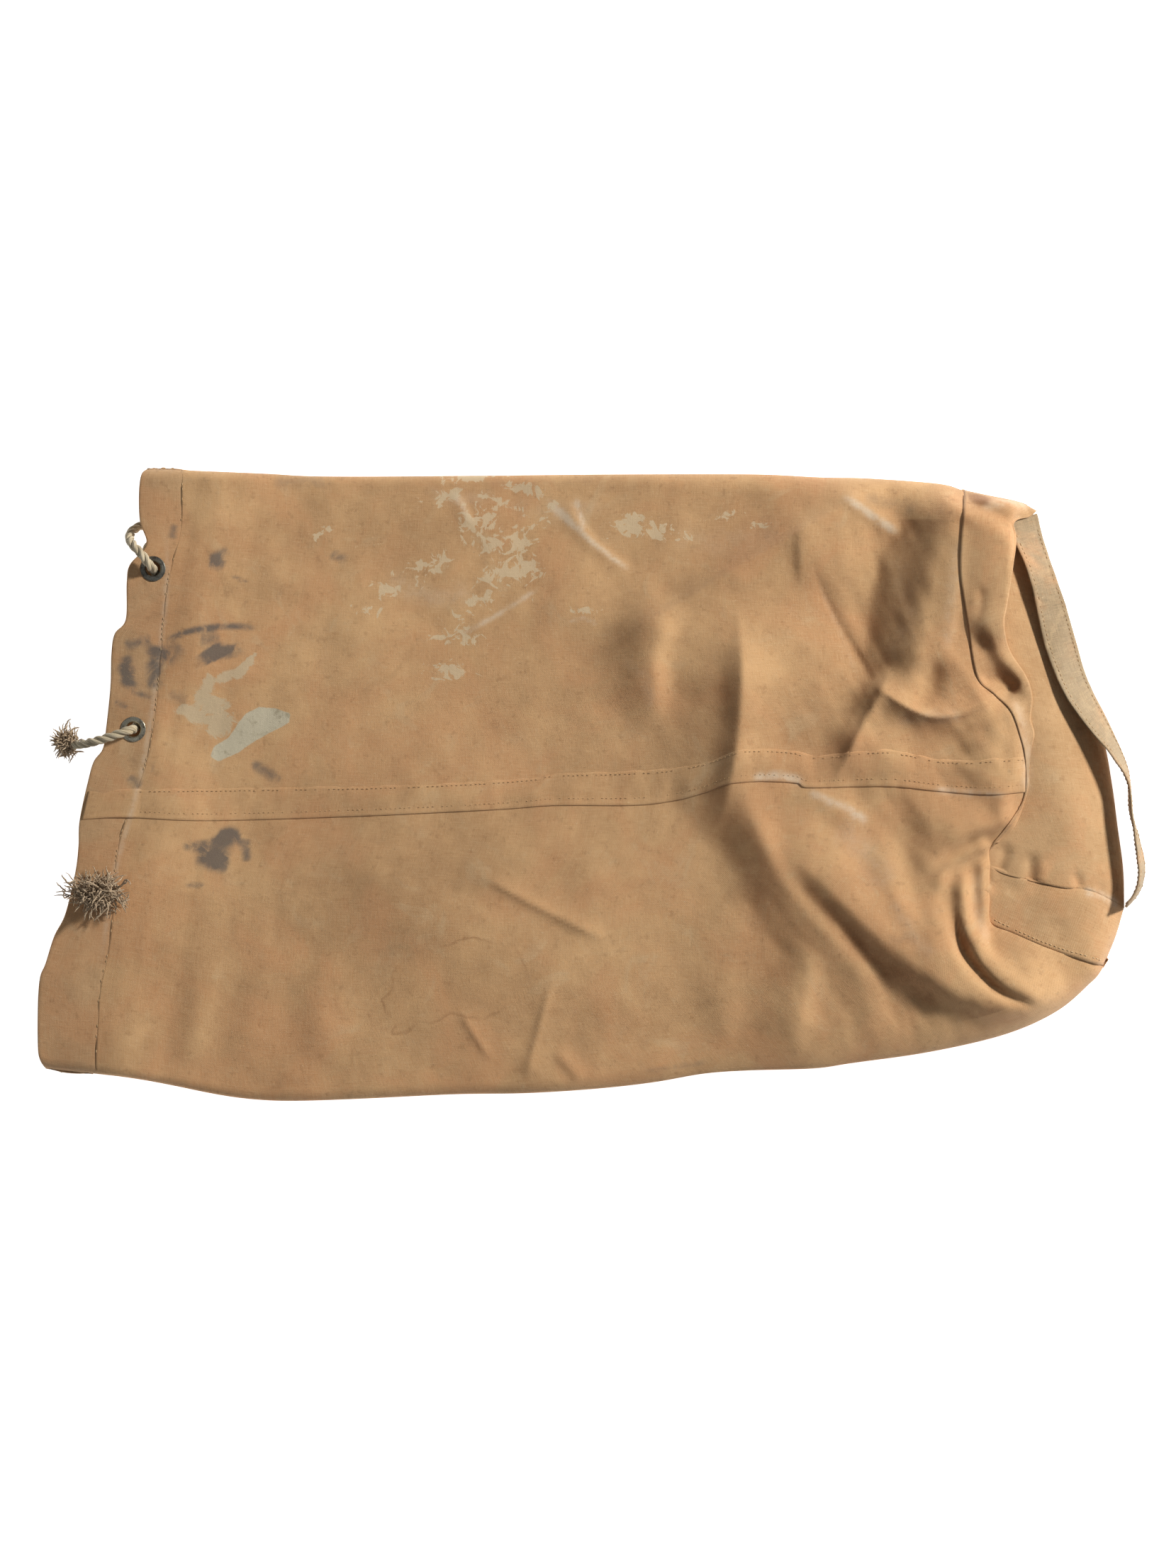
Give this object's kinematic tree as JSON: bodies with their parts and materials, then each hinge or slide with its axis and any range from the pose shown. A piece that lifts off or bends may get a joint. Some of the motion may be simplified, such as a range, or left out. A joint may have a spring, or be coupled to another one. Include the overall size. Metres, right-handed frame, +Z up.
{
  "type": "mail sack",
  "caption": "Round-bottomed canvas mail sack lying empty and flat, with a roped, eyeleted mouth and a carrying strap across its base.",
  "frame": {"origin": "on the floor, under the middle of the box of the flattened sack", "axes": "+X from the mouth to the base along the sack, +Y across it, +Z up from the floor it lies on"},
  "size_m": [1.01, 0.578, 0.056],
  "materials": {
    "canvas": "matte, worn and stained",
    "strap_canvas": "matte, doubled and stitched",
    "eyelet_steel": "dull, tarnished",
    "washer_steel": "dull, tarnished",
    "rope": "twisted cotton, dirty",
    "frayed_rope": "frayed fibres"
  },
  "bodies": {
    "sack": {"body_tube": "canvas", "mouth_hem": "canvas", "base_band": "canvas", "base_disc": "canvas", "seam_lap": "canvas", "eyelet_1": "eyelet_steel", "eyelet_2": "eyelet_steel", "eyelet_3": "eyelet_steel", "eyelet_4": "eyelet_steel", "eyelet_5": "eyelet_steel", "eyelet_6": "eyelet_steel", "eyelet_7": "eyelet_steel", "eyelet_8": "eyelet_steel", "eyelet_washer_1": "washer_steel", "eyelet_washer_2": "washer_steel", "eyelet_washer_3": "washer_steel", "eyelet_washer_4": "washer_steel", "eyelet_washer_5": "washer_steel", "eyelet_washer_6": "washer_steel", "eyelet_washer_7": "washer_steel", "eyelet_washer_8": "washer_steel", "drawcord": "rope", "frayed_end_1": "frayed_rope", "frayed_end_2": "frayed_rope"},
    "handle": {"handle_strap": "strap_canvas"}
  },
  "joints": [
    {"name": "handle_swing", "type": "hinge", "parent": "sack", "child": "handle", "pos_m": [0.4295, 0.065, 0.032], "axis": [0.2629, -0.9648, 0], "range_deg": [0, 90]}
  ]
}
